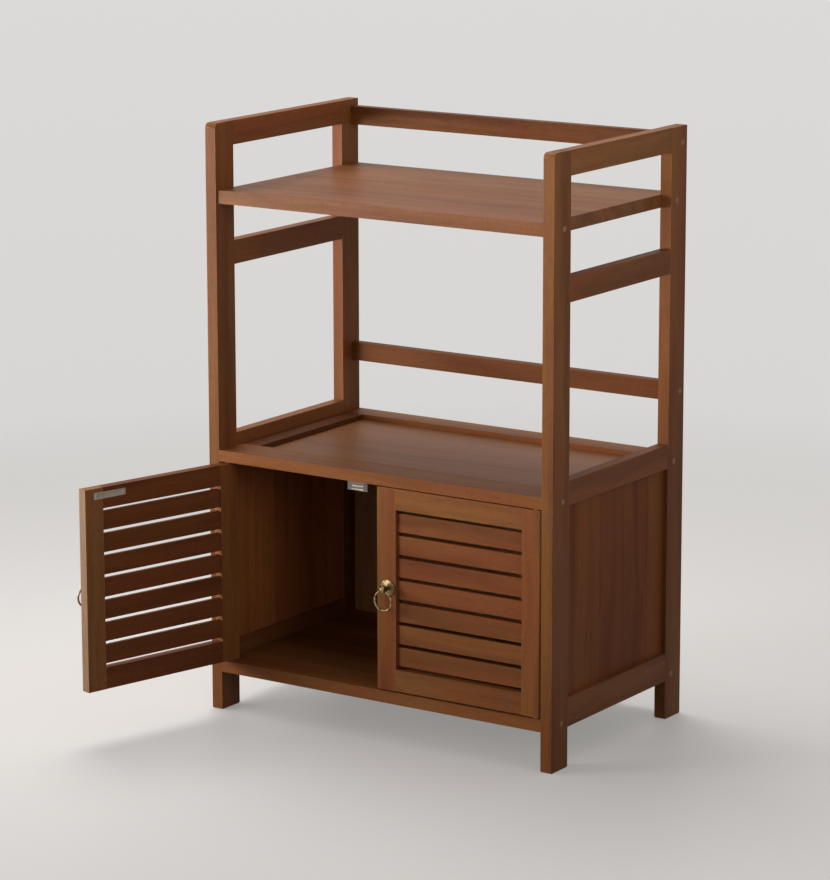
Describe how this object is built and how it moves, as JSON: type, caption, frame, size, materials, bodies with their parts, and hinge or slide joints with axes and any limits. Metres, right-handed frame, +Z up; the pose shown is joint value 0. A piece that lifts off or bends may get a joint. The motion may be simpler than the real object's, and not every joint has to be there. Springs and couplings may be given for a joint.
{
  "type": "kitchen cabinet",
  "caption": "Free-standing wooden cabinet: an open rack with a shelf and back rails stands above a cupboard with louvred doors and ring pulls.",
  "frame": {"origin": "on the floor, in the middle of the four feet", "axes": "+X to the right, +Y to the back, +Z up; the doors are at the front, on the -Y side"},
  "size_m": [0.6613, 0.619, 0.888],
  "materials": {
    "brown_wood": "stained solid wood under satin lacquer",
    "aged_brass": "aged, satin",
    "plated_steel": "zinc plated",
    "catch_plastic": "matte",
    "cap_plastic": "matte"
  },
  "bodies": {
    "carcass": {"left_front_post": "brown_wood", "left_rear_post": "brown_wood", "left_top_rail": "brown_wood", "left_middle_rail": "brown_wood", "left_lower_rail": "brown_wood", "left_bottom_rail": "brown_wood", "left_side_panel": "brown_wood", "right_front_post": "brown_wood", "right_rear_post": "brown_wood", "right_top_rail": "brown_wood", "right_middle_rail": "brown_wood", "right_lower_rail": "brown_wood", "right_bottom_rail": "brown_wood", "right_side_panel": "brown_wood", "shelf": "brown_wood", "back_top_rail": "brown_wood", "back_middle_rail": "brown_wood", "top_front_member": "brown_wood", "top_back_member": "brown_wood", "top_left_member": "brown_wood", "top_right_member": "brown_wood", "top_panel": "brown_wood", "floor_front_rail": "brown_wood", "floor_back_rail": "brown_wood", "floor_panel": "brown_wood", "back_panel": "brown_wood", "left_catch": "catch_plastic", "right_catch": "catch_plastic", "shelf_bolts": "plated_steel", "top_bolts": "plated_steel", "floor_bolts": "plated_steel", "back_rail_bolts": "plated_steel", "barrel_nuts": "plated_steel", "bolt_caps": "cap_plastic", "upper_pivot_bushes": "aged_brass", "lower_pivot_bushes": "aged_brass", "catch_pole_plates": "plated_steel", "catch_screws": "plated_steel"},
    "left_door": {"left_hinge_stile": "brown_wood", "left_meeting_stile": "brown_wood", "left_door_top_rail": "brown_wood", "left_door_bottom_rail": "brown_wood", "left_slats": "brown_wood", "left_pivot_pins": "plated_steel", "left_strike_plate": "plated_steel", "left_strike_screws": "plated_steel", "left_handle_plate": "aged_brass"},
    "right_door": {"right_hinge_stile": "brown_wood", "right_meeting_stile": "brown_wood", "right_door_top_rail": "brown_wood", "right_door_bottom_rail": "brown_wood", "right_slats": "brown_wood", "right_pivot_pins": "plated_steel", "right_strike_plate": "plated_steel", "right_strike_screws": "plated_steel", "right_handle_plate": "aged_brass"},
    "left_ring": {"left_ring": "aged_brass"},
    "right_ring": {"right_ring": "aged_brass"}
  },
  "joints": [
    {"name": "left_door_pivot", "type": "hinge", "parent": "carcass", "child": "left_door", "pos_m": [-0.2705, -0.174, 0.23], "axis": [0, 0, -1], "range_deg": [-105, 4]},
    {"name": "right_door_pivot", "type": "hinge", "parent": "carcass", "child": "right_door", "pos_m": [0.2705, -0.174, 0.23], "axis": [0, 0, 1], "range_deg": [0, 109]},
    {"name": "left_ring_swing", "type": "hinge", "parent": "left_door", "child": "left_ring", "pos_m": [-0.35436, -0.41164, 0.2299], "axis": [0.2588, 0.9659, 0], "range_deg": [-20, 180]},
    {"name": "right_ring_swing", "type": "hinge", "parent": "right_door", "child": "right_ring", "pos_m": [0.01925, -0.1935, 0.2299], "axis": [-1, 0, 0], "range_deg": [-20, 180]}
  ]
}
